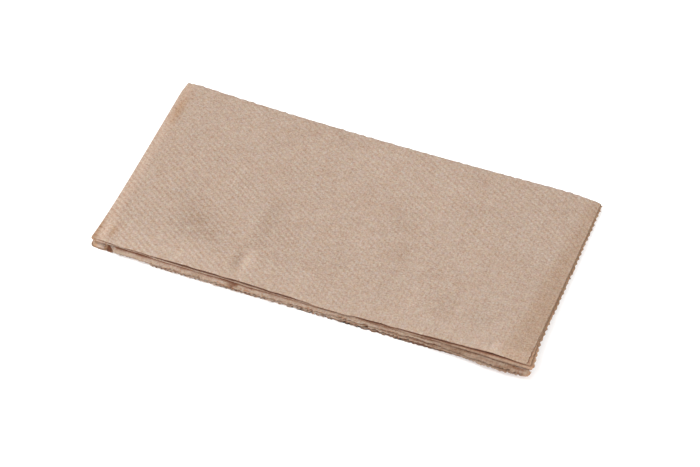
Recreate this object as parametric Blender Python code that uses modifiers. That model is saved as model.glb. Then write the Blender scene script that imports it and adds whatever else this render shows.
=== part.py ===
"""A paper napkin: one square sheet of soft two-ply paper, folded in half three times.

The sheet is drawn flat, with its cut edges toothed and its thickness given, and is then
folded as the folding machine does it, and let spring open a little. Lengths are in metres.
+X runs along the packet, from the second fold to the toothed ends, +Y points from the open
long side to the third fold, and +Z is up. The origin is at the middle of the packet, on the
table. Layers are counted from 0, at the table, to 7, at the top.
"""

import math

import bmesh
import bpy
import numpy as np

# The flat sheet
SHEET_SIDE = 0.400
PAPER = 0.00022

# The knife that cuts the sheet off the web leaves short teeth on two opposite edges
TOOTH_PITCH = 0.0030
TOOTH_DEPTH = 0.0006
WORN_TOOTH_DEPTH = 0.0002

# How far the half that is folded under reaches past the half that stays on top
FIRST_OVERHANG = 0.0004
SECOND_OVERHANG = 0.0003
THIRD_OVERHANG = 0.0002

# Part of the longer way round the outside of a fold that comes off the free edges
SLIP_SHARE = 0.35

# The packet as pressed, from one layer to the next
PITCH = 0.00038

# The packet sprung open: height of the top layer at its corners
FAR_LEFT_HEIGHT = 0.0055
FAR_RIGHT_HEIGHT = 0.0028
NEAR_LEFT_HEIGHT = 0.0053
NEAR_RIGHT_HEIGHT = 0.0080

# Places along the packet where its open long side is described
STATION_SHARES = (0, 0.03, 0.048, 0.11, 0.135, 0.21, 0.33, 0.46, 0.55, 0.62, 0.8, 0.92, 1)

# Height of each layer there, as a share of the top layer's height between the near corners
LEVEL_SHARES = (
    (0.00, 0.17, 0.30, 0.51, 0.74, 0.87, 0.98, 1.11),
    (0.00, 0.15, 0.26, 0.46, 0.72, 0.84, 0.97, 1.10),
    (0.00, 0.09, 0.18, 0.33, 0.66, 0.77, 0.92, 1.05),
    (0.00, 0.11, 0.21, 0.34, 0.63, 0.73, 0.91, 1.04),
    (0.00, 0.11, 0.21, 0.33, 0.55, 0.65, 0.87, 0.99),
    (0.00, 0.12, 0.21, 0.33, 0.51, 0.61, 0.89, 1.01),
    (0.00, 0.11, 0.21, 0.32, 0.52, 0.62, 0.90, 1.02),
    (0.00, 0.12, 0.21, 0.34, 0.44, 0.52, 0.75, 0.86),
    (0.00, 0.13, 0.27, 0.37, 0.44, 0.50, 0.60, 0.70),
    (0.00, 0.14, 0.32, 0.42, 0.47, 0.54, 0.67, 0.76),
    (0.00, 0.14, 0.29, 0.40, 0.52, 0.59, 0.79, 0.88),
    (0.00, 0.13, 0.28, 0.38, 0.49, 0.72, 0.89, 0.98),
    (0.00, 0.14, 0.28, 0.36, 0.46, 0.69, 0.81, 0.90),
)

# How far each layer reaches past the top one there, more for those that slipped back
NEAR_REACH = 0.0020
REACH_SHARES = (
    (0.81, 0.45, -0.10, -1.26, -0.15, -0.15, -0.15, -0.15),
    (0.81, 0.40, -0.10, -0.77, 0.00, 0.00, 0.00, 0.00),
    (0.52, 0.30, 0.30, 0.64, -0.10, -0.10, 0.00, 0.00),
    (0.32, 0.30, 0.30, 0.64, -0.10, -0.10, 0.00, 0.00),
    (1.17, 0.91, 0.70, 0.58, -0.10, -0.10, 0.00, 0.00),
    (1.17, 0.95, 0.80, 0.64, -0.10, -0.10, 0.00, 0.00),
    (1.17, 0.91, 0.74, 0.64, -0.10, -0.10, 0.00, 0.00),
    (1.11, 0.85, 0.70, 0.58, -0.10, -0.10, 0.00, 0.00),
    (1.11, 0.80, 0.70, 0.43, -0.30, -0.30, 0.10, 0.10),
    (1.11, 0.76, 0.74, 0.43, 0.00, 0.00, 0.00, 0.00),
    (1.22, 0.85, 0.80, 0.38, 0.00, 0.00, 0.00, 0.00),
    (1.06, 0.76, 0.70, 0.34, 0.05, 0.05, -0.05, -0.05),
    (0.81, 0.56, 0.59, 0.34, 0.10, 0.10, 0.00, 0.00),
)

# How round the open ends of the folds are, as a share of half their height
LOBE_SHARE = 0.8

# The inner layers of the lower group don't reach the bottom of the second fold
INNER_PULL = 0.0050
INNER_PULL_LENGTH = 0.0150
INNER_PULL_DEPTH = 0.0150

# The second fold's loops gape a little more at the open long side
MOUTH_FLARE = 0.0014

# The long side at the third fold is drawn in at its middle
FAR_BOW = 0.0012

# The far left corner, where every fold meets, is drawn in and rounded
CORNER_TUCK = 0.0006
CORNER_REACH = 0.0040

# The far right corner is drawn in too, over the last part of the length
FAR_CORNER_DROP = 0.0020
FAR_CORNER_TUCK = 0.0006
FAR_CORNER_SHARE = 0.12

# The layers' cut ends are spread at the near right corner, by layer
END_SPLAY = 0.0016
END_SPLAY_SHARE = 0.1
END_SPLAY_SHARES = (-0.6, 0.1, 0.7, 1.0, 1.0, 0.8, 0.5, 0.0)

# Mesh steps round a fold, across a panel and along it, and how they crowd to the folds
FOLD_STEPS = 8
ACROSS_STEPS = 6
ALONG_STEPS = 18
CROWDING = 1.6

KRAFT_COLOUR = (0.50, 0.36, 0.25, 1.0)
KRAFT_ROUGHNESS = 0.95

# Sizes that follow
FIRST_RADIUS = PITCH / 2
SECOND_RADIUS = PITCH
THIRD_RADIUS = 2 * PITCH
FIRST_ARC = math.pi * FIRST_RADIUS
SECOND_ARC = math.pi * SECOND_RADIUS
THIRD_ARC = math.pi * THIRD_RADIUS
WIDTH_ONCE_FOLDED = (SHEET_SIDE - FIRST_ARC - FIRST_OVERHANG) / 2
LENGTH = (SHEET_SIDE - SECOND_ARC - SECOND_OVERHANG) / 2
DEPTH = (WIDTH_ONCE_FOLDED - THIRD_ARC - THIRD_OVERHANG) / 2
TOP_LEVEL = 7
GROUP_LEVELS = 4
TIGHT_HEIGHT = TOP_LEVEL * PITCH


def clear_scene():
    """Remove what the startup file holds."""
    for old in list(bpy.data.objects):
        bpy.data.objects.remove(old)


def lines_across():
    """Places of the mesh lines across the sheet, from one slit edge to the other.

    Zero is the first crease. The upper layer is on the positive side, and the layer that is
    folded under it is on the negative side, past the paper that goes round the fold.
    """
    crowded = (1 - np.cos(np.linspace(0, math.pi, ACROSS_STEPS + 1))) / 2
    beyond = DEPTH + THIRD_ARC
    upper = np.concatenate(
        [
            crowded * DEPTH,
            np.linspace(DEPTH, beyond, FOLD_STEPS + 1)[1:],
            beyond + crowded[1:] * (WIDTH_ONCE_FOLDED - beyond),
        ]
    )
    under = FIRST_ARC + upper
    under[-1] += FIRST_OVERHANG
    round_fold = np.linspace(0, FIRST_ARC, FOLD_STEPS + 1)
    return np.concatenate([-under[:0:-1], -round_fold[:0:-1], upper])


def lines_along():
    """Places of the mesh lines along the sheet, from one toothed edge to the other."""
    crowded = np.linspace(0, 1, ALONG_STEPS + 1) ** CROWDING
    upper = crowded * LENGTH
    round_fold = np.linspace(0, SECOND_ARC, FOLD_STEPS + 1)
    under = SECOND_ARC + crowded * (LENGTH + SECOND_OVERHANG)
    return np.concatenate([-under[:0:-1], -round_fold[:0:-1], upper])


def flat_sheet():
    """The sheet before it is folded, as a grid whose lines lie where the folds need them."""
    along, across = lines_along(), lines_across()
    bm = bmesh.new()
    bmesh.ops.create_grid(
        bm, x_segments=len(along) - 1, y_segments=len(across) - 1, size=1
    )
    for vertex in bm.verts:
        column = round((vertex.co.x + 1) / 2 * (len(along) - 1))
        row = round((vertex.co.y + 1) / 2 * (len(across) - 1))
        vertex.co = (along[column], across[row], 0)
    cut_teeth(bm, along[0], along[-1])
    mesh = bpy.data.meshes.new("flat_sheet")
    bm.to_mesh(mesh)
    bm.free()
    return mesh


def cut_teeth(bm, first_end, last_end):
    """Give both ends of the sheet their teeth: the tips stay, and the roots are cut back."""
    for end, step in ((first_end, TOOTH_DEPTH), (last_end, -WORN_TOOTH_DEPTH)):
        edges = [
            edge
            for edge in bm.edges
            if all(math.isclose(v.co.x, end, abs_tol=PAPER) for v in edge.verts)
            and edge.calc_length() > TOOTH_PITCH
        ]
        for edge in edges:
            teeth = round(edge.calc_length() / TOOTH_PITCH)
            tips = set(edge.verts)
            made = bmesh.ops.subdivide_edges(bm, edges=[edge], cuts=2 * teeth - 1)
            new = [v for v in made["geom_inner"] if isinstance(v, bmesh.types.BMVert)]
            new = [v for v in new if v not in tips]
            new.sort(key=lambda v: v.co.y)
            for root in new[::2]:
                root.co.x += step


def fold_under(points, heading, crease, lowest, radius):
    """Fold the part of a stack of layers that lies past a crease back under the rest.

    heading is the way towards the part that moves, crease its distance along that way, and
    lowest the height of the stack's lowest layer. radius is that of the stack's middle. The
    longer way round the outside of the fold leaves the free edges of the outer layers short.
    """
    past = points @ heading - crease
    own = points[:, 2] - (lowest - PITCH / 2)
    angle = np.clip(past / radius, 0, math.pi)
    back = np.maximum(past - math.pi * radius, 0)
    slip = SLIP_SHARE * math.pi * (own - radius) * np.minimum(back / DEPTH, 1)
    ahead = own * np.sin(angle) - back + slip
    folded = points + np.outer(ahead - past, heading)
    folded[:, 2] = lowest - PITCH / 2 + own * np.cos(angle)
    return np.where((past > 0)[:, None], folded, points)


def folded_tight(flat):
    """Where points of the flat sheet come to lie once it is folded and pressed."""
    towards_near = np.array([0.0, -1.0, 0.0])
    towards_left = np.array([-1.0, 0.0, 0.0])
    towards_far = np.array([0.0, 1.0, 0.0])
    out = fold_under(flat, towards_near, 0, 0, FIRST_RADIUS)
    out = fold_under(out, towards_left, 0, -PITCH, SECOND_RADIUS)
    out = fold_under(out, towards_far, DEPTH, -3 * PITCH, THIRD_RADIUS)
    out[:, 2] += TIGHT_HEIGHT
    return out


def between(low_side, high_side, share):
    """A value part of the way from one side's to the other's."""
    return low_side + (high_side - low_side) * share


def by_station(table, right):
    """What the table gives for each layer, at places along the packet."""
    layers = zip(*table)
    return np.array([np.interp(right, STATION_SHARES, layer) for layer in layers])


def by_level(values, level):
    """What the layers' values give at heights that may lie between two layers."""
    below = np.clip(np.floor(level).astype(int), 0, TOP_LEVEL - 1)
    point = np.arange(len(level))
    return between(values[below, point], values[below + 1, point], level - below)


def sprung_open(points):
    """Let the pressed packet spring open, as the layers' middle surfaces do."""
    near = np.clip(1 - points[:, 1] / DEPTH, 0, 1)
    right = np.clip(points[:, 0] / LENGTH, 0, 1)
    level = points[:, 2] / PITCH
    far_top = between(FAR_RIGHT_HEIGHT, FAR_LEFT_HEIGHT, (1 - right) ** 4)
    near_top = between(NEAR_LEFT_HEIGHT, NEAR_RIGHT_HEIGHT, right)
    heights = near_top * by_station(LEVEL_SHARES, right)
    out = points.copy()
    out[:, 2] = between(far_top * level / TOP_LEVEL, by_level(heights, level), near)
    loop = LOBE_SHARE * near_top / 2 / ((GROUP_LEVELS - 1) * PITCH)
    lobe = between(
        heights[5] - heights[4], heights[7] - heights[6], np.clip(level / 2 - 2, 0, 1)
    )
    lobe = LOBE_SHARE * lobe / PITCH
    out[:, 0] += np.minimum(points[:, 0], 0) * near * (np.maximum(loop, 1) - 1)
    out[:, 0] -= MOUTH_FLARE * np.clip(-points[:, 0] / PITCH, 0, 1) * near**6
    out[:, 1] += np.minimum(points[:, 1], 0) * near * (np.maximum(lobe, 1) - 1)
    from_middle = np.hypot(
        np.minimum(points[:, 0], 0) / PITCH, level - (GROUP_LEVELS - 1) / 2
    )
    inner = np.clip(3 / 2 - from_middle, 0, 1)
    fade = np.maximum(points[:, 0], 0) / INNER_PULL_LENGTH
    fade += np.maximum(points[:, 1], 0) / INNER_PULL_DEPTH
    out[:, 0] += INNER_PULL * inner * np.exp(-fade)
    reach = by_level(by_station(REACH_SHARES, right), level)
    out[:, 1] -= NEAR_REACH * reach * near**3
    out[:, 1] -= FAR_BOW * 4 * right * (1 - right) * (1 - near) ** 2
    to_end = np.clip((right - 1) / FAR_CORNER_SHARE + 1, 0, 1)
    out[:, 0] -= FAR_CORNER_TUCK * to_end**2 * (1 - near) ** 2
    out[:, 1] -= FAR_CORNER_DROP * to_end**2 * (1 - near) ** 2
    to_end = np.clip((right - 1) / END_SPLAY_SHARE + 1, 0, 1)
    splay = np.interp(level, range(TOP_LEVEL + 1), END_SPLAY_SHARES)
    out[:, 0] += END_SPLAY * splay * to_end**2 * near**8
    from_corner = np.hypot(points[:, 0], points[:, 1] - DEPTH)
    tuck = CORNER_TUCK * np.exp(-((from_corner / CORNER_REACH) ** 2))
    out[:, 0] += tuck
    out[:, 1] -= tuck
    return out


def fold_mesh(mesh):
    """Move the vertices of the flat sheet to where the folds take them.

    Both faces of the paper move with its middle surface, so it keeps its thickness.
    """
    flat = np.empty(len(mesh.vertices) * 3)
    mesh.vertices.foreach_get("co", flat)
    flat = flat.reshape(-1, 3)
    middle = folded_tight(flat * np.array([1.0, 1.0, 0.0]))
    folded = folded_tight(flat) + sprung_open(middle) - middle
    low, high = folded.min(axis=0), folded.max(axis=0)
    folded -= [(low[0] + high[0]) / 2, (low[1] + high[1]) / 2, low[2]]
    mesh.vertices.foreach_set("co", folded.ravel())
    mesh.update()


def kraft_paper():
    """Unbleached brown paper."""
    material = bpy.data.materials.new("kraft_paper")
    material.use_nodes = True
    shader = material.node_tree.nodes["Principled BSDF"]
    shader.inputs["Base Color"].default_value = KRAFT_COLOUR
    shader.inputs["Roughness"].default_value = KRAFT_ROUGHNESS
    shader.inputs["Metallic"].default_value = 0
    return material


def build_napkin():
    """The folded napkin, as one closed solid."""
    sheet = bpy.data.objects.new("sheet", flat_sheet())
    collection = bpy.data.collections.new("paper_napkin")
    bpy.context.scene.collection.children.link(collection)
    collection.objects.link(sheet)
    thickness = sheet.modifiers.new("paper", "SOLIDIFY")
    thickness.thickness = PAPER
    thickness.offset = 0
    graph = bpy.context.evaluated_depsgraph_get()
    mesh = bpy.data.meshes.new_from_object(sheet.evaluated_get(graph))
    bpy.data.objects.remove(sheet)
    fold_mesh(mesh)
    mesh.shade_smooth()
    mesh.set_sharp_from_angle(angle=math.radians(50))
    mesh.materials.append(kraft_paper())
    napkin = bpy.data.objects.new("napkin", mesh)
    collection.objects.link(napkin)
    return napkin


def main():
    clear_scene()
    build_napkin()


main()
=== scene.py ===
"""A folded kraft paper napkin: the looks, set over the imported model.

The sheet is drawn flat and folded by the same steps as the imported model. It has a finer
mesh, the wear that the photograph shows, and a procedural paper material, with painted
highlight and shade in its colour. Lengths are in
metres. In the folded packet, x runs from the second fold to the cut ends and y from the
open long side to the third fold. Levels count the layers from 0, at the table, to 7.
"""

import math

import bmesh
import bpy
import mathutils
import numpy as np
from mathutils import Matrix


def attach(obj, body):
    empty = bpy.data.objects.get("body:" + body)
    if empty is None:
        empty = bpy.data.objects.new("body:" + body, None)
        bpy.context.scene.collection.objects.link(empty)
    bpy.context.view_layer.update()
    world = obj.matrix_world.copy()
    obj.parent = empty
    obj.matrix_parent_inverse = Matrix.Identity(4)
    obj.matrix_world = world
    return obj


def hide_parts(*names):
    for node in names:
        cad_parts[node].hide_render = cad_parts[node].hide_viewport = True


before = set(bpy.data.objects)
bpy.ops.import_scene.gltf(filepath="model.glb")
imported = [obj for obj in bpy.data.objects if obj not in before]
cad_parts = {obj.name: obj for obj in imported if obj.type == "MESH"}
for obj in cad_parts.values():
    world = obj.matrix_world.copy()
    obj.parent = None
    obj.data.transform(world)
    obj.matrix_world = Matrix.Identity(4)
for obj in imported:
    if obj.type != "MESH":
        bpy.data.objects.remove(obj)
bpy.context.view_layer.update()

MM = 0.001

# The sheet and its folds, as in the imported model
SHEET_SIDE = 0.400
PAPER = 0.00022
FIRST_OVERHANG = 0.0004
SECOND_OVERHANG = 0.0003
THIRD_OVERHANG = 0.0002
SLIP_SHARE = 0.35
PITCH = 0.00038
FAR_LEFT_HEIGHT = 0.0055
FAR_RIGHT_HEIGHT = 0.0028
NEAR_LEFT_HEIGHT = 0.0053
NEAR_RIGHT_HEIGHT = 0.0080
STATION_SHARES = (0, 0.03, 0.048, 0.11, 0.135, 0.21, 0.33, 0.46, 0.55, 0.62, 0.8, 0.92, 1)
LEVEL_SHARES = (
    (0.00, 0.17, 0.30, 0.51, 0.74, 0.87, 0.98, 1.11),
    (0.00, 0.15, 0.26, 0.46, 0.72, 0.84, 0.97, 1.10),
    (0.00, 0.09, 0.18, 0.33, 0.66, 0.77, 0.92, 1.05),
    (0.00, 0.11, 0.21, 0.34, 0.63, 0.73, 0.91, 1.04),
    (0.00, 0.11, 0.21, 0.33, 0.55, 0.65, 0.87, 0.99),
    (0.00, 0.12, 0.21, 0.33, 0.51, 0.61, 0.89, 1.01),
    (0.00, 0.11, 0.21, 0.32, 0.52, 0.62, 0.90, 1.02),
    (0.00, 0.12, 0.21, 0.34, 0.44, 0.52, 0.75, 0.86),
    (0.00, 0.13, 0.27, 0.37, 0.44, 0.50, 0.60, 0.70),
    (0.00, 0.14, 0.32, 0.42, 0.47, 0.54, 0.67, 0.76),
    (0.00, 0.14, 0.29, 0.40, 0.52, 0.59, 0.79, 0.88),
    (0.00, 0.13, 0.28, 0.38, 0.49, 0.72, 0.89, 0.98),
    (0.00, 0.14, 0.28, 0.36, 0.46, 0.69, 0.81, 0.90),
)
NEAR_REACH = 0.0020
REACH_SHARES = (
    (0.81, 0.45, -0.10, -1.26, -0.15, -0.15, -0.15, -0.15),
    (0.81, 0.40, -0.10, -0.77, 0.00, 0.00, 0.00, 0.00),
    (0.52, 0.30, 0.30, 0.64, -0.10, -0.10, 0.00, 0.00),
    (0.32, 0.30, 0.30, 0.64, -0.10, -0.10, 0.00, 0.00),
    (1.17, 0.91, 0.70, 0.58, -0.10, -0.10, 0.00, 0.00),
    (1.17, 0.95, 0.80, 0.64, -0.10, -0.10, 0.00, 0.00),
    (1.17, 0.91, 0.74, 0.64, -0.10, -0.10, 0.00, 0.00),
    (1.11, 0.85, 0.70, 0.58, -0.10, -0.10, 0.00, 0.00),
    (1.11, 0.80, 0.70, 0.43, -0.30, -0.30, 0.10, 0.10),
    (1.11, 0.76, 0.74, 0.43, 0.00, 0.00, 0.00, 0.00),
    (1.22, 0.85, 0.80, 0.38, 0.00, 0.00, 0.00, 0.00),
    (1.06, 0.76, 0.70, 0.34, 0.05, 0.05, -0.05, -0.05),
    (0.81, 0.56, 0.59, 0.34, 0.10, 0.10, 0.00, 0.00),
)
LOBE_SHARE = 0.8
INNER_PULL = 0.0050
INNER_PULL_LENGTH = 0.0150
INNER_PULL_DEPTH = 0.0150
MOUTH_FLARE = 0.0014
FAR_BOW = 0.0012
CORNER_TUCK = 0.0006
CORNER_REACH = 0.0040
FAR_CORNER_DROP = 0.0020
FAR_CORNER_TUCK = 0.0006
FAR_CORNER_SHARE = 0.12
END_SPLAY = 0.0016
END_SPLAY_SHARE = 0.1
END_SPLAY_SHARES = (-0.6, 0.1, 0.7, 1.0, 1.0, 0.8, 0.5, 0.0)
FIRST_RADIUS = PITCH / 2
SECOND_RADIUS = PITCH
THIRD_RADIUS = 2 * PITCH
FIRST_ARC = math.pi * FIRST_RADIUS
SECOND_ARC = math.pi * SECOND_RADIUS
THIRD_ARC = math.pi * THIRD_RADIUS
WIDTH_ONCE_FOLDED = (SHEET_SIDE - FIRST_ARC - FIRST_OVERHANG) / 2
LENGTH = (SHEET_SIDE - SECOND_ARC - SECOND_OVERHANG) / 2
DEPTH = (WIDTH_ONCE_FOLDED - THIRD_ARC - THIRD_OVERHANG) / 2
TOP_LEVEL = 7
GROUP_LEVELS = 4
TIGHT_HEIGHT = TOP_LEVEL * PITCH

# The mesh: its cells, and lines that are closer together beside the folds (in mm)
CELL_ALONG = 2.0 * MM
CELL_ACROSS = 1.32 * MM
FOLD_STEPS = 8
LEFT_LINES = (0, 0.4, 1.0, 1.8, 2.8, 4.0, 5.5, 7.0, 8.5)
FIRST_CELL = 10 * MM
NEAR_LINES = (0.33, 0.66)
FAR_LINES = (0.45,)
HIDDEN_LINES = (0, 0.35, 0.8, 1.4, 2.2, 3.4, 5, 7.5, 11, 17, 26, 40, 56, 72, 86, 95)
BORDER_CUTS = 3
SHORT_BORDER = 0.7 * MM
END_STEP = 0.7 * MM
TINY = 0.01 * MM
SHARP_ANGLE = math.radians(55)

# The cut ends: teeth of the upper and the lower half, and how far they fray
TOOTH_PITCH = 3.0 * MM
UPPER_TOOTH, UPPER_FRAY = 0.32 * MM, 0.10 * MM
LOWER_TOOTH, LOWER_FRAY = 1.1 * MM, 0.22 * MM
LOWER_REACH = 0.3 * MM
CORNER_CUT = 1.0 * MM

# The slit edges: nicks that are larger in the middle (places and sizes in mm)
SLIT_FRAY = 0.15 * MM
NICK_PLACES = (22, 28, 140, 160)
NICK_SIZES = (0.2, 0.9, 0.9, 0.14)

# The embossed dots
DOT_ALONG = 4.1 * MM
DOT_ACROSS = 2.64 * MM
DOT_HEIGHT = 0.10 * MM
DIAGONAL_SHARE = 0.72

# Soft dents and swells of the top layer: from left, from far side, half widths, height, mm
DENTS = (
    (62.5, 89, 2.0, 6, -0.55),
    (66.5, 89, 2.2, 8, 0.25),
    (36, 74, 8, 8, -0.50),
    (67, 68, 4, 14, -0.25),
    (60, 66, 4, 22, 0.15),
    (98, 79, 5, 7, -0.16),
    (124, 56, 5, 9, -0.18),
    (142, 67, 3, 3, -0.10),
    (155, 80, 3, 9, -0.16),
    (115, 62, 7, 6, 0.12),
    (160, 56, 8, 7, 0.12),
    (88, 31, 5, 4, 0.10),
    (78, 22, 5, 9, -0.10),
    (147, 22, 4, 6, -0.14),
    (28, 40, 5, 6, -0.12),
    (190, 86, 3, 12, -0.25),
    (172, 88, 6, 7, -0.15),
)

# Patches of the outer faces: soiled spots and flecks, and painted shade and highlight
# beside the dents and pleats: from left, from far side, half widths, tone
PATCHES = (
    (62.5, 88, 2.0, 5.5, -0.23),
    (67.5, 88, 2.2, 8, 0.19),
    (60.5, 70, 2.0, 9, 0.06),
    (36, 73, 8, 8, -0.15),
    (46, 80, 6, 5, -0.10),
    (25, 63, 7, 4, -0.07),
    (31, 37, 4, 4, -0.05),
    (67, 59, 4.5, 9, -0.12),
    (66, 74, 4, 6, -0.07),
    (74, 72, 12, 8, -0.04),
    (123, 44, 5, 5, -0.07),
    (128, 58, 4, 9, -0.07),
    (104, 78, 3.5, 9, -0.06),
    (95, 77, 3, 7, -0.04),
    (128, 81, 5, 6, -0.04),
    (156, 80, 3.5, 8, -0.08),
    (144, 66, 3, 4, -0.06),
    (172, 83, 6, 4, -0.06),
    (180, 47, 9, 2.5, -0.04),
    (150, 24, 4, 6, -0.03),
    (78, 4, 2.5, 4, -0.06),
    (83, 22, 5, 9, -0.03),
    (117, 32, 3, 14, -0.03),
    (92, 30, 4, 3.5, 0.06),
    (135, 34, 3, 9, 0.05),
    (136, 15, 5, 5, 0.04),
    (156, 54, 5, 4, 0.04),
    (140.5, 81, 2, 8, 0.05),
    (163, 83, 2.2, 8, 0.05),
    (110, 55, 6, 9, 0.03),
    (70, 17, 8, 8, 0.03),
    (95, 12, 12, 8, 0.02),
    (118, 15, 22, 9, 0.03),
    (181.2, 94.6, 0.9, 2.6, -0.16),
    (183.2, 94.6, 1.0, 2.6, 0.08),
    (146.5, 64.8, 0.5, 0.5, -0.45),
    (150.3, 44.4, 0.5, 0.4, -0.40),
    (139.6, 80.2, 0.5, 0.5, -0.35),
    (37.5, 16.7, 0.5, 0.5, -0.40),
)
UNDERSIDE_SHARE = 0.6
POCKET_PLACE = 65 * MM

# The paper's noises: waves in a metre, detail, roughness, half of the range that is used
CLOUD = (38, 3, 0.55, 0.2)
BLOTCH = (135, 2, 0.5, 0.2)
MOTTLE = (330, 3, 0.6, 0.25)
GRAIN = (1350, 3, 0.65, 0.3)
PRESSED = (75, 2, 0.5, 0.15)
STREAK = (1.0, 2, 0.6, 0.15)
WARM = (620, 3, 0.6, 0.25)
WARM_PATCH = (90, 2, 0.5, 0.2)
GREEN_DRIFT = (380, 4, 0.65, 0.25)

# Fibres: how their noise is stretched, and the ways that it is turned
LONG_FIBRES = (260, 2600, 2600)
SHORT_FIBRES = (300, 2300, 2300)
FIBRE_TURNS = (0.5, -0.7, 1.4)
# Dark flecks, many small ones and a few larger: scale, radii, share left out, strength
FLECKS = ((150, 0.03, 0.06, 0.88, 0.3), (62, 0.018, 0.034, 0.78, 0.5))

# Colours of the paper, and tints that are multiplied or mixed into it. The peach is
# painted highlight on the second fold; the edge, crease and deep red tints are painted
# shade; the smudge tint is a smudge and painted shade.
PINK_BROWN = (0.275, 0.206, 0.175, 1)
YELLOW_BROWN = (0.303, 0.207, 0.162, 1)
GREEN_TINT = (1.0, 1.055, 0.915, 1)
END_BROWN_TINT = (0.88, 0.81, 0.73, 1)
FOLD_HIGHLIGHT_PEACH = (0.326, 0.233, 0.174, 1)
SMUDGE_AND_SHADE_TINT = (0.86, 0.74, 0.60, 1)
EDGE_SHADE_TINT = (0.685, 0.58, 0.505, 1)
UNDERSIDE_SHADE_TINT = (0.92, 0.54, 0.32, 1)
GAP_SHADE_RED = (0.16, 0.06, 0.028, 1)
# What is darker is also browner, and what is lighter is greyer
LIGHT_LEAN = (0.64, 0.98, 1.22)
PATCH_LEAN = (0.88, 1.0, 1.14)

# The camera, found from the packet's corners and edges
AZIMUTH = math.radians(24.265)
ELEVATION = math.radians(50.163)
ROLL = math.radians(-2.965)
DISTANCE = 1.3110
TARGET = mathutils.Vector((0.00151, -0.00217, 0))
FOCAL_PIXELS = 3000
FRAME_PIXELS = 700
SENSOR = 36

# The studio
SKY = 0.85
LAMP_SIZE = 1.2
LAMPS = (("key", (-0.85, -0.2, 1.4), 22), ("fill", (0.9, -1.15, 0.95), 22))
FLOOR_RADIUS = 6
FLOOR_DROP = 0.0001
FLOOR_GREY = 0.98


def between(low_side, high_side, share):
    return low_side + (high_side - low_side) * share


def rising(past, width):
    """0 up to a place, and from there up to 1 over a width."""
    return np.clip(past / width, 0, 1)


def fading(past, width):
    """1 up to a place, and from there down to 0 over a width."""
    return np.clip(1 - past / width, 0, 1)


def by_place(x, places, values):
    """Values that are given at a few places, in mm, and run straight between them."""
    return np.interp(x, np.array(places) * MM, values)


def by_layer(level, values):
    return np.interp(level, range(len(values)), values)


def ripple(place, longest, shortest, seed, waves=7):
    """A smooth random wave along a line, between about -1 and 1, the same each run."""
    rng = np.random.default_rng(seed)
    lengths = np.exp(rng.uniform(math.log(shortest), math.log(longest), waves))
    phases = rng.uniform(0, 2 * math.pi, waves)
    total = sum(
        np.sin(2 * math.pi * place / length + phase)
        for length, phase in zip(lengths, phases)
    )
    return total / math.sqrt(waves) / 1.2


def bump(x, middle, spread):
    return np.exp(-(((x - middle) / spread) ** 2))


def lines_across():
    fine = np.arange(0, DEPTH, CELL_ACROSS)
    fine = fine[fine < DEPTH - 0.4 * MM]
    near = np.array(NEAR_LINES) * MM
    far = DEPTH - np.array(FAR_LINES) * MM
    top = np.unique(np.concatenate([fine, near, far, [DEPTH]]))
    hidden = np.unique(np.concatenate([np.array(HIDDEN_LINES) * MM, [DEPTH]]))
    arc = np.linspace(0, THIRD_ARC, FOLD_STEPS + 1)
    beyond = DEPTH + THIRD_ARC
    to_edge = WIDTH_ONCE_FOLDED - hidden[::-1]
    to_edge = to_edge[to_edge > beyond + 0.2 * MM]
    upper = np.concatenate([top, DEPTH + arc[1:], to_edge])
    under = FIRST_ARC + np.concatenate([hidden, DEPTH + arc[1:], to_edge])
    under[-1] += FIRST_OVERHANG
    round_fold = np.linspace(0, FIRST_ARC, FOLD_STEPS + 1)
    return np.concatenate([-under[:0:-1], -round_fold[:0:-1], upper])


def lines_along():
    start = np.array(LEFT_LINES) * MM
    rest = np.arange(FIRST_CELL, LENGTH - 0.5 * MM, CELL_ALONG)
    upper = np.concatenate([start, rest, [LENGTH]])
    round_fold = np.linspace(0, SECOND_ARC, FOLD_STEPS + 1)
    under = SECOND_ARC + upper
    under[-1] += SECOND_OVERHANG
    return np.concatenate([-under[:0:-1], -round_fold[:0:-1], upper])


def divide_border(bm):
    """Give the border points enough for its teeth and nicks."""
    border = {}
    for edge in bm.edges:
        length = edge.calc_length()
        if edge.is_boundary and length > SHORT_BORDER:
            cuts = BORDER_CUTS
            if abs(edge.verts[0].co.x - edge.verts[1].co.x) < TINY:
                cuts = max(cuts, math.ceil(length / END_STEP) - 1)
            border.setdefault(cuts, []).append(edge)
    for cuts, edges in border.items():
        bmesh.ops.subdivide_edges(bm, edges=edges, cuts=cuts)


def tooth_step(y, lower, rng):
    """How far a point of the cut end lies behind the tips of the teeth."""
    tooth = abs(((y / TOOTH_PITCH) % 1) * 2 - 1)
    ragged = rng.uniform(0, LOWER_FRAY if lower else UPPER_FRAY)
    wave = 0.5 + 0.5 * ripple(np.array([y]), 30 * MM, 6 * MM, 5)[0]
    size = LOWER_TOOTH if lower else UPPER_TOOTH
    return size * tooth * (0.5 + 0.7 * wave) + ragged - (LOWER_REACH if lower else 0)


def nick_step(x, rng):
    """How far a point of a slit edge lies behind the edge's line."""
    ragged = rng.uniform(0, SLIT_FRAY)
    wave = 0.3 + ripple(np.array([abs(x)]), 5 * MM, 1.5 * MM, 8, 9)[0]
    size = by_place(abs(x), NICK_PLACES, NICK_SIZES) * MM
    return ragged + size * (min(max(wave, 0), 1.2) - 0.22)


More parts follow.
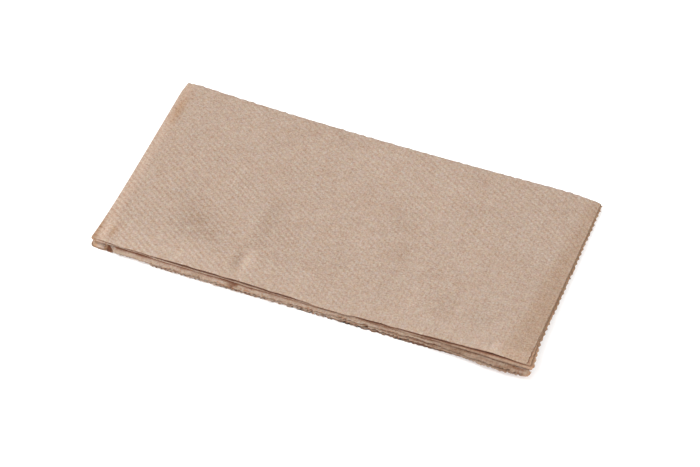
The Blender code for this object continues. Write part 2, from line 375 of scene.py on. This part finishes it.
def flat_sheet():
    along, across = lines_along(), lines_across()
    bm = bmesh.new()
    bmesh.ops.create_grid(
        bm, x_segments=len(along) - 1, y_segments=len(across) - 1, size=1
    )
    for vertex in bm.verts:
        column = round((vertex.co.x + 1) / 2 * (len(along) - 1))
        row = round((vertex.co.y + 1) / 2 * (len(across) - 1))
        vertex.co = (along[column], across[row], 0)
    divide_border(bm)
    rng = np.random.default_rng(11)
    for vertex in bm.verts:
        if not vertex.is_boundary:
            continue
        x, y, _ = vertex.co
        lower, upper = abs(x - along[0]) < TINY, abs(x - along[-1]) < TINY
        low_slit, high_slit = abs(y - across[0]) < TINY, abs(y - across[-1]) < TINY
        if lower or upper:
            step = tooth_step(y, lower, rng)
            vertex.co.x += step if lower else -step
            if low_slit or high_slit:
                vertex.co.y -= math.copysign(CORNER_CUT, y)
        elif low_slit or high_slit:
            step = nick_step(x, rng)
            vertex.co.y += step if low_slit else -step
    mesh = bpy.data.meshes.new("flat_sheet")
    bm.to_mesh(mesh)
    bm.free()
    return mesh


def fold_under(points, heading, crease, lowest, radius):
    """Fold what lies past a crease under the rest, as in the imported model."""
    past = points @ heading - crease
    own = points[:, 2] - (lowest - PITCH / 2)
    angle = np.clip(past / radius, 0, math.pi)
    back = np.maximum(past - math.pi * radius, 0)
    slip = SLIP_SHARE * math.pi * (own - radius) * np.minimum(back / DEPTH, 1)
    ahead = own * np.sin(angle) - back + slip
    folded = points + np.outer(ahead - past, heading)
    folded[:, 2] = lowest - PITCH / 2 + own * np.cos(angle)
    return np.where((past > 0)[:, None], folded, points)


def folded_tight(flat):
    towards_near = np.array([0.0, -1.0, 0.0])
    towards_left = np.array([-1.0, 0.0, 0.0])
    towards_far = np.array([0.0, 1.0, 0.0])
    out = fold_under(flat, towards_near, 0, 0, FIRST_RADIUS)
    out = fold_under(out, towards_left, 0, -PITCH, SECOND_RADIUS)
    out = fold_under(out, towards_far, DEPTH, -3 * PITCH, THIRD_RADIUS)
    out[:, 2] += TIGHT_HEIGHT
    return out


def by_station(table, right):
    layers = zip(*table)
    return np.array([np.interp(right, STATION_SHARES, layer) for layer in layers])


def by_level(values, level):
    below = np.clip(np.floor(level).astype(int), 0, TOP_LEVEL - 1)
    point = np.arange(len(level))
    return between(values[below, point], values[below + 1, point], level - below)


def sprung_open(points):
    """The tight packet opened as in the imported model."""
    near = np.clip(1 - points[:, 1] / DEPTH, 0, 1)
    right = np.clip(points[:, 0] / LENGTH, 0, 1)
    level = points[:, 2] / PITCH
    far_top = between(FAR_RIGHT_HEIGHT, FAR_LEFT_HEIGHT, (1 - right) ** 4)
    near_top = between(NEAR_LEFT_HEIGHT, NEAR_RIGHT_HEIGHT, right)
    heights = near_top * by_station(LEVEL_SHARES, right)
    out = points.copy()
    out[:, 2] = between(far_top * level / TOP_LEVEL, by_level(heights, level), near)
    loop = LOBE_SHARE * near_top / 2 / ((GROUP_LEVELS - 1) * PITCH)
    lobe = between(
        heights[5] - heights[4], heights[7] - heights[6], np.clip(level / 2 - 2, 0, 1)
    )
    lobe = LOBE_SHARE * lobe / PITCH
    out[:, 0] += np.minimum(points[:, 0], 0) * near * (np.maximum(loop, 1) - 1)
    out[:, 0] -= MOUTH_FLARE * np.clip(-points[:, 0] / PITCH, 0, 1) * near**6
    out[:, 1] += np.minimum(points[:, 1], 0) * near * (np.maximum(lobe, 1) - 1)
    from_middle = np.hypot(
        np.minimum(points[:, 0], 0) / PITCH, level - (GROUP_LEVELS - 1) / 2
    )
    inner = np.clip(3 / 2 - from_middle, 0, 1)
    fade = np.maximum(points[:, 0], 0) / INNER_PULL_LENGTH
    fade += np.maximum(points[:, 1], 0) / INNER_PULL_DEPTH
    out[:, 0] += INNER_PULL * inner * np.exp(-fade)
    reach = by_level(by_station(REACH_SHARES, right), level)
    out[:, 1] -= NEAR_REACH * reach * near**3
    out[:, 1] -= FAR_BOW * 4 * right * (1 - right) * (1 - near) ** 2
    to_end = np.clip((right - 1) / FAR_CORNER_SHARE + 1, 0, 1)
    out[:, 0] -= FAR_CORNER_TUCK * to_end**2 * (1 - near) ** 2
    out[:, 1] -= FAR_CORNER_DROP * to_end**2 * (1 - near) ** 2
    to_end = np.clip((right - 1) / END_SPLAY_SHARE + 1, 0, 1)
    splay = by_layer(level, END_SPLAY_SHARES)
    out[:, 0] += END_SPLAY * splay * to_end**2 * near**8
    from_corner = np.hypot(points[:, 0], points[:, 1] - DEPTH)
    tuck = CORNER_TUCK * np.exp(-((from_corner / CORNER_REACH) ** 2))
    out[:, 0] += tuck
    out[:, 1] -= tuck
    return out


class Packet:
    """Where each point of the flat sheet lies in the tightly folded packet."""

    def __init__(self, flat):
        self.flat = flat
        self.tight = folded_tight(flat)
        self.middle = folded_tight(flat * np.array([1.0, 1.0, 0.0]))
        self.x, self.y = self.middle[:, 0], self.middle[:, 1]
        self.level = self.middle[:, 2] / PITCH
        self.from_far, self.from_end = DEPTH - self.y, LENGTH - self.x
        self.front, self.back = flat[:, 2] > 0, flat[:, 2] < 0
        self.upward = self.tight[:, 2] > self.middle[:, 2]
        self.top = rising(self.level - 6, 1)
        self.below_top = rising(7 - self.level, 1)
        # the third layer's upper face, which shows as a shelf under the folds
        self.is_third = np.abs(self.level - 3) < 0.1
        # how far inside its own slit edge each point of the free layers lies
        edge = by_layer(self.level, (0.63, 0.21, -0.21, -0.63, -0.2))
        self.from_slit = self.y - edge * MM
        self.is_free = self.level < 3.1
        self.by_loop = rising(7 * MM - self.x, 2 * MM)
        self.by_near = rising(self.from_far - 84 * MM, 6 * MM)
        self.at_end = fading(self.from_end, 1.8 * MM) * self.below_top


def worn(p):
    """How far handling has moved each point of the middle surface."""
    near = fading(p.y, DEPTH)
    move = np.zeros_like(p.middle)
    soft = np.zeros(len(p.x))
    for left, far, wide, deep, height in DENTS:
        spot = bump(p.x, left * MM, wide * MM) * bump(p.from_far, far * MM, deep * MM)
        soft += height * MM * spot
    move[:, 2] += soft * p.top * np.clip(near * 1.6, 0, 1)
    # the top layer curves down to its folds and its cut end
    curve = 0.25 * fading(p.y, 8 * MM) ** 2
    curve += 0.35 * fading(p.x, 6 * MM) ** 2 * near
    curve += 0.2 * fading(p.from_end, 16 * MM) ** 2 * near
    move[:, 2] -= curve * MM * p.top
    # every layer of the open side waves a little on its own
    for layer in range(1, TOP_LEVEL + 1):
        own = fading(np.abs(p.level - layer), 1)
        wave = ripple(p.x, 60 * MM, 9 * MM, 40 + layer)
        size = 0.10 * MM if layer < TOP_LEVEL else 0.12 * MM
        move[:, 2] += own * wave * size * near**3
        drift = ripple(p.x, 45 * MM, 6 * MM, 70 + layer)
        move[:, 1] += own * drift * 0.22 * MM * near**6
    # the free layers lean up against the folds above them
    start = rising(p.y + 0.5 * MM, 1.7 * MM)
    lean = start**2 * (3 - 2 * start) * np.exp(-np.maximum(p.y - 2 * MM, 0) / (12 * MM))
    lean *= by_place(p.x, (0, 4, 10, 90, 130, 160, 198), (0.5, 0.8, 1, 0.7, 0.5, 0.3, 0.2))
    move[:, 2] += lean * by_layer(p.level, (0, 0.25, 0.6, 1, 0)) * MM
    # towards the cut end the layers spring up a little more
    lift = by_place(p.x, (100, 130, 160, 185, 199), (0, 0.2, 0.6, 0.6, 0.5)) * near**4
    move[:, 2] += lift * by_layer(p.level, (0, 0.7, 1.2, 1.3, 1)) * MM
    short = by_place(p.x, (148, 165), (0, 0.55)) * near**6
    move[:, 1] += short * rising(1.5 - p.level, 1) * MM
    # the middle layers stick out further at the near right corner
    fan = fading(p.from_end, 11 * MM) ** 2 * near**8
    fan_along = by_layer(p.level, (-2.2, -1.7, -0.9, 0.3, 1.2, 1.4, 0.9, 0))
    move[:, 0] += fan * fan_along * MM
    move[:, 1] += fan * by_layer(p.level, (1.0, 0.8, 0.4, 0)) * MM
    # the third fold is not quite straight
    far_wave = 0.13 * MM * ripple(p.x, 14 * MM, 2.6 * MM, 23, 9)
    far_wave += 0.22 * MM * ripple(p.x, 6 * MM, 4 * MM, 29, 9)
    move[:, 1] += far_wave * fading(p.from_far, 4 * MM)
    return move


def napkin_points(p):
    """Where points of the flat sheet lie in the used napkin, both faces of the paper."""
    plain = p.tight + sprung_open(p.middle) - p.middle
    low, high = plain.min(axis=0), plain.max(axis=0)
    centre = np.array([(low[0] + high[0]) / 2, (low[1] + high[1]) / 2, low[2]])
    final = plain + worn(p) - centre
    # embossed dots on the face that shows
    along = 2 * math.pi * p.flat[:, 0] / DOT_ALONG
    across = 2 * math.pi * p.flat[:, 1] / DOT_ACROSS
    dots = DIAGONAL_SHARE * np.cos(along + across)
    dots += (1 - DIAGONAL_SHARE) * np.cos(along - across)
    final[:, 2] += np.where(p.front & (p.level > 6.9), DOT_HEIGHT * dots, 0)
    return final


def soil_and_painted_light(p):
    """How much paler or darker the faces are: soiled spots and flecks, and painted
    highlight and shade.
    """
    top = p.top * p.front
    underside = UNDERSIDE_SHARE * fading(p.level, 1)
    tone = np.zeros(len(p.x))
    # soiled spots and flecks, and painted shade and highlight beside the dents and pleats
    for left, far, wide, deep, change in PATCHES:
        deeper = change * bump(p.from_far, far * MM, deep * MM)
        tone += top * bump(p.x, left * MM, wide * MM) * deeper
        tone += underside * bump(p.from_end, left * MM, wide * MM) * deeper
    # painted highlight: the near fold is paler, most towards its two ends, and so is the
    # curled rim at its right end; the near left corner is paler too; painted shade in the
    # dip beside that corner and along the second fold's outer edge there
    paler = rising(p.from_far - 82 * MM, 9 * MM)
    places = (0, 6, 50, 75, 130, 150, 186, 196)
    paler *= by_place(p.x, places, (0, 0.10, 0.06, 0.03, 0.01, 0.04, 0.05, 0))
    curl = rising(p.from_far - 92 * MM, 3 * MM)
    curl *= by_place(p.x, (168, 180, 192, 198), (0, 0.08, 0.13, 0.1))
    corner = bump(p.x, 2.4 * MM, 1.6 * MM) * p.by_near
    shade = bump(p.x, 5.8 * MM, 1.5 * MM) * bump(p.from_far, 92 * MM, 3.8 * MM)
    crease = bump(p.x, -0.3 * MM, 0.3 * MM) * p.by_near
    tone += top * (paler + curl + 0.1 * corner - 0.07 * shade - 0.15 * crease)
    # painted light: the inside of the open loop at the near left corner is much paler,
    # though it lies in shade
    loop = p.by_loop * fading(p.y - 8 * MM, 6 * MM)
    loop *= (p.level < 0.1) | ((p.level > 2.1) & p.is_free) | (p.x < 0)
    loop *= rising(p.from_slit - 0.7 * MM, 0.5 * MM)
    tone += 0.9 * loop * p.back
    rim = fading(p.from_slit, 0.9 * MM) * p.is_free
    tone -= 0.3 * rim * p.by_loop
    # painted shade: a dark pocket on the third layer's shelf; painted light: the cut ends,
    # which stand in shade, are paler and warmer
    pocket = bump(p.x, POCKET_PLACE, 1.6 * MM) * p.is_third * p.front
    return tone - 0.45 * pocket + 0.3 * p.at_end


def smudge_and_painted_shade(p):
    """Where the paper is browner: a smudge at the far left of the second fold, painted
    shade in the dip at the near left corner and on the second fold's outer edge there, the
    slit edges at the open loop, and the cut ends, which with their paler tone are painted
    warm light in shade.
    """
    smudge = bump(p.x, 3.2 * MM, 1.9 * MM) * bump(p.from_far, 17 * MM, 8 * MM)
    smudge += bump(p.x, 5.6 * MM, 1.4 * MM) * bump(p.from_far, 92 * MM, 3.8 * MM)
    crease = bump(p.x, -0.3 * MM, 0.3 * MM) * p.by_near
    rim = fading(p.y, 0.9 * MM) * p.by_loop * p.is_free
    return np.clip(smudge * p.top + crease + 1.2 * rim + p.at_end, 0, 1)


def painted_gap_shade(p):
    """Painted shade: how deep each point lies between the layers, from 0 outside to 1 well
    inside, with a dark pocket on the shelf and in the mouth of the open loop.
    """
    outside = (p.upward & (p.level > 6.9)) | (~p.upward & (p.level < 0.1))
    shelf = p.upward & p.is_third
    start = np.where(shelf, 1.1, np.where(np.abs(p.level - 2) < 0.1, 0.45, 0.1)) * MM
    from_near = rising(p.from_slit - start, np.where(shelf, 0.8, 0.6) * MM)
    from_left = rising(p.x - 0.2 * MM, 1.5 * MM)
    from_right = rising(p.from_end - 0.5 * MM, 1.2 * MM)
    from_back = rising(p.from_far - 0.2 * MM, 1.5 * MM)
    depth = np.minimum.reduce((from_near, from_left, from_right, from_back))
    in_loop = p.is_free & (p.x < 8 * MM)
    depth *= np.where(in_loop, by_place(p.x, (3.6, 5.2), (0.1, 1)), 1)
    between_lobes = rising(0.66 - np.abs(p.level - 5.5), 0.15)
    between_lobes *= rising(p.y + 0.5 * MM, 0.4 * MM) * from_left * from_right
    depth = np.maximum(depth, 0.8 * between_lobes)
    pocket = bump(p.x, POCKET_PLACE, 1.8 * MM) * shelf
    pocket *= rising(p.from_slit - 0.1 * MM, 0.5 * MM)
    mouth = rising(p.x, 0.5 * MM) * rising(4.5 * MM - p.x, 2 * MM)
    mouth *= (p.level > 0.5) & (p.level < 2.5) & (p.y < 6 * MM)
    return np.where(outside, 0, np.maximum.reduce((depth, pocket, mouth)))


def at_edge(p):
    """Nearness to the open long side, on all layers but the top one: it weights the
    painted shade of that wall, and its streaks.
    """
    places = (0, 8, 60, 120, 150, 172, 182, 192)
    near = fading(p.y - 0.8 * MM, 1.6 * MM)
    near *= by_place(p.x, places, (0, 0.05, 0.2, 0.38, 0.6, 1, 0.9, 0.6))
    shelf = fading(np.abs(p.level - 3), 1) * p.front
    near *= 1 - shelf * by_place(p.x, (100, 160), (0.6, 0.1))
    return near * rising(p.from_end - 0.5 * MM, 1.5 * MM) * p.below_top


def painted_underside_shade(p, mesh):
    """Painted shade: how far the paper of the open long side looks down, which makes it
    darker and redder.
    """
    normals = np.empty(len(p.x) * 3)
    mesh.vertices.foreach_get("normal", normals)
    down = np.clip(0.2 - normals.reshape(-1, 3)[:, 2], 0, 1)
    end = (p.level > 5.9) * rising(p.x - 186.4 * MM, 8 * MM)
    return down * fading(p.y - 2 * MM, 3 * MM) * (1 - 0.7 * end)


def is_shown(vertex):
    """Whether a vertex is on the upper face of the top layer, clear of its edges."""
    x, y, z = vertex.co
    inside_x = FIRST_CELL - 1e-6 <= x <= LENGTH - 0.1 * MM
    return z > 0 and inside_x and 1.3 * MM <= y <= DEPTH - 0.4 * MM


def thick_sheet():
    """The flat sheet with the paper's thickness, and a finer grid where it shows."""
    sheet = bpy.data.objects.new("sheet", flat_sheet())
    bpy.context.scene.collection.objects.link(sheet)
    thickness = sheet.modifiers.new("paper", "SOLIDIFY")
    thickness.thickness = PAPER
    thickness.offset = 0
    graph = bpy.context.evaluated_depsgraph_get()
    mesh = bpy.data.meshes.new_from_object(sheet.evaluated_get(graph))
    bpy.data.objects.remove(sheet)
    bm = bmesh.new()
    bm.from_mesh(mesh)
    edges = [edge for edge in bm.edges if all(is_shown(v) for v in edge.verts)]
    bmesh.ops.subdivide_edges(bm, edges=edges, cuts=1, use_grid_fill=True)
    bmesh.ops.triangulate(bm, faces=[f for f in bm.faces if len(f.verts) > 4])
    bm.to_mesh(mesh)
    bm.free()
    return mesh


def put_values(mesh, name, values):
    layer = mesh.attributes.new(name, "FLOAT", "POINT")
    layer.data.foreach_set("value", values)


def build_napkin():
    mesh = thick_sheet()
    flat = np.empty(len(mesh.vertices) * 3)
    mesh.vertices.foreach_get("co", flat)
    flat = flat.reshape(-1, 3)
    place = mesh.attributes.new("flat_place", "FLOAT_VECTOR", "POINT")
    place.data.foreach_set("vector", flat.ravel())
    packet = Packet(flat)
    put_values(mesh, "at_edge", at_edge(packet))
    put_values(mesh, "soil_and_painted_light", soil_and_painted_light(packet))
    put_values(mesh, "smudge_and_painted_shade", smudge_and_painted_shade(packet))
    put_values(mesh, "painted_gap_shade", painted_gap_shade(packet))
    mesh.vertices.foreach_set("co", napkin_points(packet).ravel())
    mesh.update()
    put_values(mesh, "painted_underside_shade", painted_underside_shade(packet, mesh))
    mesh.shade_smooth()
    mesh.set_sharp_from_angle(angle=SHARP_ANGLE)
    napkin = bpy.data.objects.new("folded_napkin", mesh)
    bpy.context.scene.collection.objects.link(napkin)
    return napkin


class Nodes:
    """Short names for the nodes and links of one material."""

    def __init__(self, name):
        self.material = bpy.data.materials.new(name)
        self.material.use_nodes = True
        self.tree = self.material.node_tree
        self.shader = self.tree.nodes["Principled BSDF"]

    def add(self, kind, **values):
        node = self.tree.nodes.new(kind)
        for key, value in values.items():
            setattr(node, key, value)
        return node

    def put(self, socket, value):
        if isinstance(value, bpy.types.NodeSocket):
            self.tree.links.new(value, socket)
        else:
            socket.default_value = value

    def attribute(self, name, output="Fac"):
        return self.add("ShaderNodeAttribute", attribute_name=name).outputs[output]

    def math(self, operation, *values, clamp=False):
        node = self.add("ShaderNodeMath", operation=operation, use_clamp=clamp)
        for socket, value in zip(node.inputs, values):
            self.put(socket, value)
        return node.outputs[0]

    def plus(self, total, value, weight):
        """The total with a value added to it, by weight."""
        return self.math("ADD", total, self.math("MULTIPLY", value, weight))

    def vector(self, operation, *values):
        node = self.add("ShaderNodeVectorMath", operation=operation)
        for socket, value in zip(node.inputs, values):
            self.put(socket, value)
        return node.outputs[0]

    def scaled(self, vector, scale):
        node = self.add("ShaderNodeVectorMath", operation="SCALE")
        self.put(node.inputs[0], vector)
        self.put(node.inputs["Scale"], scale)
        return node.outputs[0]

    def tint(self, share, base, colour, blend="MULTIPLY"):
        """The base with a colour multiplied or mixed into it, by share."""
        node = self.add("ShaderNodeMix", data_type="RGBA", blend_type=blend)
        self.put(node.inputs[0], share)
        self.put(node.inputs[6], base)
        self.put(node.inputs[7], colour)
        return node.outputs[2]

    def span(self, value, low, high, to_low, to_high, smooth=False):
        node = self.add("ShaderNodeMapRange", clamp=True)
        node.interpolation_type = "SMOOTHSTEP" if smooth else "LINEAR"
        self.put(node.inputs["Value"], value)
        node.inputs["From Min"].default_value = low
        node.inputs["From Max"].default_value = high
        node.inputs["To Min"].default_value = to_low
        node.inputs["To Max"].default_value = to_high
        return node.outputs["Result"]

    def noise(self, place, scale, detail, roughness):
        node = self.add("ShaderNodeTexNoise", noise_dimensions="3D")
        self.put(node.inputs["Vector"], place)
        node.inputs["Scale"].default_value = scale
        node.inputs["Detail"].default_value = detail
        node.inputs["Roughness"].default_value = roughness
        return node.outputs["Fac"]

    def swing(self, place, noise, low=-1, high=1):
        """One of the paper's noises, spread from a low to a high value."""
        scale, detail, roughness, half = noise
        noise = self.noise(place, scale, detail, roughness)
        return self.span(noise, 0.5 - half, 0.5 + half, low, high)

    def stretch(self, place, scale, turn=0.0):
        node = self.add("ShaderNodeMapping")
        self.put(node.inputs["Vector"], place)
        node.inputs["Scale"].default_value = scale
        node.inputs["Rotation"].default_value = (0, 0, turn)
        return node.outputs["Vector"]

    def fibres(self, place, stretch, turn, low, high):
        way = self.stretch(place, stretch, turn)
        return self.span(self.noise(way, 1.0, 1, 0.5), low, high, 0, 1, smooth=True)

    def flecks(self, place, scale, small, large, left_out):
        node = self.add("ShaderNodeTexVoronoi", feature="F1")
        self.put(node.inputs["Vector"], place)
        node.inputs["Scale"].default_value = scale
        spot = self.span(node.outputs["Distance"], small, large, 1, 0, smooth=True)
        channels = self.add("ShaderNodeSeparateColor")
        self.put(channels.inputs[0], node.outputs["Color"])
        chosen = self.math("GREATER_THAN", channels.outputs[0], left_out)
        return self.math("MULTIPLY", spot, chosen)


def embossed_lines(n, place, u, v):
    """The embossed lines, pressed unevenly."""
    wave_u = n.math("MULTIPLY", u, 2 * math.pi / DOT_ALONG)
    wave_v = n.math("MULTIPLY", v, 2 * math.pi / DOT_ACROSS)
    lines = n.math("COSINE", n.math("ADD", wave_u, wave_v))
    other = n.math("COSINE", n.math("SUBTRACT", wave_u, wave_v))
    twice = n.math("COSINE", n.math("MULTIPLY", wave_u, 2))
    side = n.math("ABSOLUTE", u)
    # they are deepest at the near left and nearly pressed out at the near right
    far_depth = n.span(side, 60 * MM, 150 * MM, 0.85, 1.1)
    near_depth = n.span(side, 30 * MM, 190 * MM, 1.55, 0.05)
    nearness = n.span(n.math("ABSOLUTE", v), 35 * MM, 75 * MM, 1, 0)
    depth = n.math("MULTIPLY", n.math("SUBTRACT", near_depth, far_depth), nearness)
    lines = n.math("MULTIPLY", lines, n.math("ADD", depth, far_depth))
    twice = n.math("MULTIPLY", twice, n.span(side, 70 * MM, 140 * MM, 0.36, 0.6))
    stripes = n.math("ADD", n.plus(lines, other, 0.27), twice)
    return n.math("MULTIPLY", stripes, n.swing(place, PRESSED, 0.6, 1))


def paper_light(n, place, stripes, grain, mottle, edge):
    """How much lighter or darker than its mean the paper is: grain, fibres and flecks, and
    painted shade and highlight of the embossed lines.
    """
    light = n.math("MULTIPLY", n.swing(place, CLOUD), 0.03)
    light = n.plus(light, n.swing(place, BLOTCH), 0.032)
    light = n.plus(light, mottle, 0.12)
    light = n.plus(light, grain, 0.46)
    # painted shade and highlight of the embossed lines
    light = n.plus(light, stripes, 0.078)
    for turn in FIBRE_TURNS:
        pale = n.fibres(place, LONG_FIBRES, turn, 0.60, 0.72)
        dark = n.fibres(place, SHORT_FIBRES, turn + 0.9, 0.66, 0.76)
        light = n.plus(n.plus(light, pale, 0.08), dark, -0.09)
    for scale, small, large, left_out, depth in FLECKS:
        light = n.plus(light, n.flecks(place, scale, small, large, left_out), -depth)
    # the layers of the open side have fine streaks
    streak = n.swing(n.stretch(place, (60, 1300, 1300)), STREAK, -0.42, 0.34)
    return n.plus(light, streak, n.math("MULTIPLY", edge, 2.2, clamp=True))


def paper_colour(n, place, u, v, edge):
    """The paper's hue, with its browner cut end, its smudges, and painted highlight and
    shade: paler on the second fold, darker and redder on the open side and between the
    layers.
    """
    warm = n.swing(place, WARM, -0.5, 0.5)
    warm = n.math("ADD", warm, n.swing(place, WARM_PATCH, 0.4, 0.6), clamp=True)
    colour = n.tint(warm, PINK_BROWN, YELLOW_BROWN, "MIX")
    colour = n.tint(n.swing(place, GREEN_DRIFT, 0, 1), colour, GREEN_TINT)
    # the cut end is browner and darker, from a line that is a little askew
    side, across = n.math("ABSOLUTE", u), n.math("ABSOLUTE", v)
    askew = n.plus(side, across, -0.08)
    end = n.span(askew, LENGTH - 15.5 * MM, LENGTH - 9 * MM, 0, 1, smooth=True)
    end = n.math("MULTIPLY", end, n.span(across, 50 * MM, 76 * MM, 0.8, 0.7))
    colour = n.tint(end, colour, END_BROWN_TINT)
    # painted highlight: the rounded second fold is paler and more orange
    from_fold = n.math("ABSOLUTE", n.math("ADD", u, SECOND_ARC / 2))
    fold_highlight = n.span(from_fold, 1.5 * MM, 6.5 * MM, 1, 0, smooth=True)
    colour = n.tint(fold_highlight, colour, FOLD_HIGHLIGHT_PEACH, "MIX")
    # a smudge, and painted shade at the near left corner and on the second fold's edge
    # there
    colour = n.tint(n.attribute("smudge_and_painted_shade"), colour, SMUDGE_AND_SHADE_TINT)
    # painted shade: the open side's wall below the top layer is darker and browner
    colour = n.tint(edge, colour, EDGE_SHADE_TINT)
    # painted shade: the undersides of the folds there, which look down, are darker and
    # redder
    colour = n.tint(n.attribute("painted_underside_shade"), colour, UNDERSIDE_SHADE_TINT)
    # painted shade: between the layers the paper is made dim and red
    return n.tint(n.attribute("painted_gap_shade"), colour, GAP_SHADE_RED, "MIX")


def kraft_tissue():
    n = Nodes("kraft_tissue")
    place = n.attribute("flat_place", "Vector")
    apart = n.add("ShaderNodeSeparateXYZ")
    n.put(apart.inputs[0], place)
    u, v = apart.outputs["X"], apart.outputs["Y"]
    grain, mottle = n.swing(place, GRAIN), n.swing(place, MOTTLE)
    stripes = embossed_lines(n, place, u, v)
    edge = n.attribute("at_edge")
    light = paper_light(n, place, stripes, grain, mottle, edge)
    tone = n.add("ShaderNodeCombineXYZ")
    soil_and_light_tone = n.attribute("soil_and_painted_light")
    for socket in tone.inputs:
        n.put(socket, soil_and_light_tone)
    patches = n.vector("MULTIPLY_ADD", PATCH_LEAN, tone.outputs[0], (1, 1, 1))
    factor = n.vector("ADD", n.scaled(LIGHT_LEAN, light), patches)
    colour = n.vector("MULTIPLY", paper_colour(n, place, u, v, edge), factor)
    n.put(n.shader.inputs["Base Color"], colour)

    n.shader.inputs["Subsurface Weight"].default_value = 0.12
    n.shader.inputs["Subsurface Radius"].default_value = (1.0, 0.4, 0.2)
    n.shader.inputs["Subsurface Scale"].default_value = 0.0003
    n.shader.inputs["Roughness"].default_value = 0.95
    n.shader.inputs["Specular IOR Level"].default_value = 0.15
    n.shader.inputs["Sheen Weight"].default_value = 0.12
    n.shader.inputs["Sheen Roughness"].default_value = 0.6

    # relief: the dots again, finer than the mesh, and the fibres
    relief = n.math("MULTIPLY", stripes, 0.03)
    relief = n.plus(n.plus(relief, grain, 0.03), mottle, 0.03)
    relief_node = n.add("ShaderNodeBump")
    relief_node.inputs["Strength"].default_value = 1.0
    relief_node.inputs["Distance"].default_value = 1 * MM
    n.put(relief_node.inputs["Height"], relief)
    n.put(n.shader.inputs["Normal"], relief_node.outputs["Normal"])
    return n.material


def add_camera():
    data = bpy.data.cameras.new("camera")
    camera = bpy.data.objects.new("camera", data)
    bpy.context.scene.collection.objects.link(camera)
    back = mathutils.Vector(
        (
            math.sin(AZIMUTH) * math.cos(ELEVATION),
            -math.cos(AZIMUTH) * math.cos(ELEVATION),
            math.sin(ELEVATION),
        )
    )
    right = mathutils.Vector((math.cos(AZIMUTH), math.sin(AZIMUTH), 0))
    up = back.cross(right)
    across = right * math.cos(ROLL) + up * math.sin(ROLL)
    upward = up * math.cos(ROLL) - right * math.sin(ROLL)
    turn = mathutils.Matrix((across, upward, back)).transposed().to_4x4()
    camera.matrix_world = mathutils.Matrix.Translation(TARGET + back * DISTANCE) @ turn
    data.sensor_width = SENSOR
    data.lens = FOCAL_PIXELS / FRAME_PIXELS * SENSOR
    data.clip_start = 0.05
    data.clip_end = 50
    bpy.context.scene.camera = camera


def add_light(name, place, power):
    """A round soft lamp that is aimed at the origin."""
    data = bpy.data.lights.new(name, "AREA")
    data.shape = "DISK"
    data.size = LAMP_SIZE
    data.energy = power
    light = bpy.data.objects.new(name, data)
    bpy.context.scene.collection.objects.link(light)
    light.location = place
    way = -mathutils.Vector(place)
    light.rotation_euler = way.to_track_quat("-Z", "Y").to_euler()


def add_studio():
    scene = bpy.context.scene
    scene.view_settings.view_transform = "Standard"
    scene.view_settings.look = "None"
    scene.view_settings.exposure = 0
    scene.view_settings.gamma = 1
    world = bpy.data.worlds.new("studio")
    scene.world = world
    world.use_nodes = True
    background = world.node_tree.nodes["Background"]
    background.inputs["Color"].default_value = (1, 1, 1, 1)
    background.inputs["Strength"].default_value = SKY
    for name, place, power in LAMPS:
        add_light(name, place, power)
    bm = bmesh.new()
    bmesh.ops.create_circle(bm, cap_ends=True, radius=FLOOR_RADIUS, segments=96)
    mesh = bpy.data.meshes.new("floor")
    bm.to_mesh(mesh)
    bm.free()
    floor = bpy.data.objects.new("floor", mesh)
    scene.collection.objects.link(floor)
    floor.location.z = -FLOOR_DROP
    material = bpy.data.materials.new("pale_floor")
    material.use_nodes = True
    shader = material.node_tree.nodes["Principled BSDF"]
    shader.inputs["Base Color"].default_value = (FLOOR_GREY, FLOOR_GREY, FLOOR_GREY, 1)
    shader.inputs["Roughness"].default_value = 0.9
    shader.inputs["Specular IOR Level"].default_value = 0.1
    mesh.materials.append(material)


napkin = build_napkin()
napkin.data.materials.append(kraft_tissue())
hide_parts("napkin")
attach(napkin, "root")
add_camera()
add_studio()
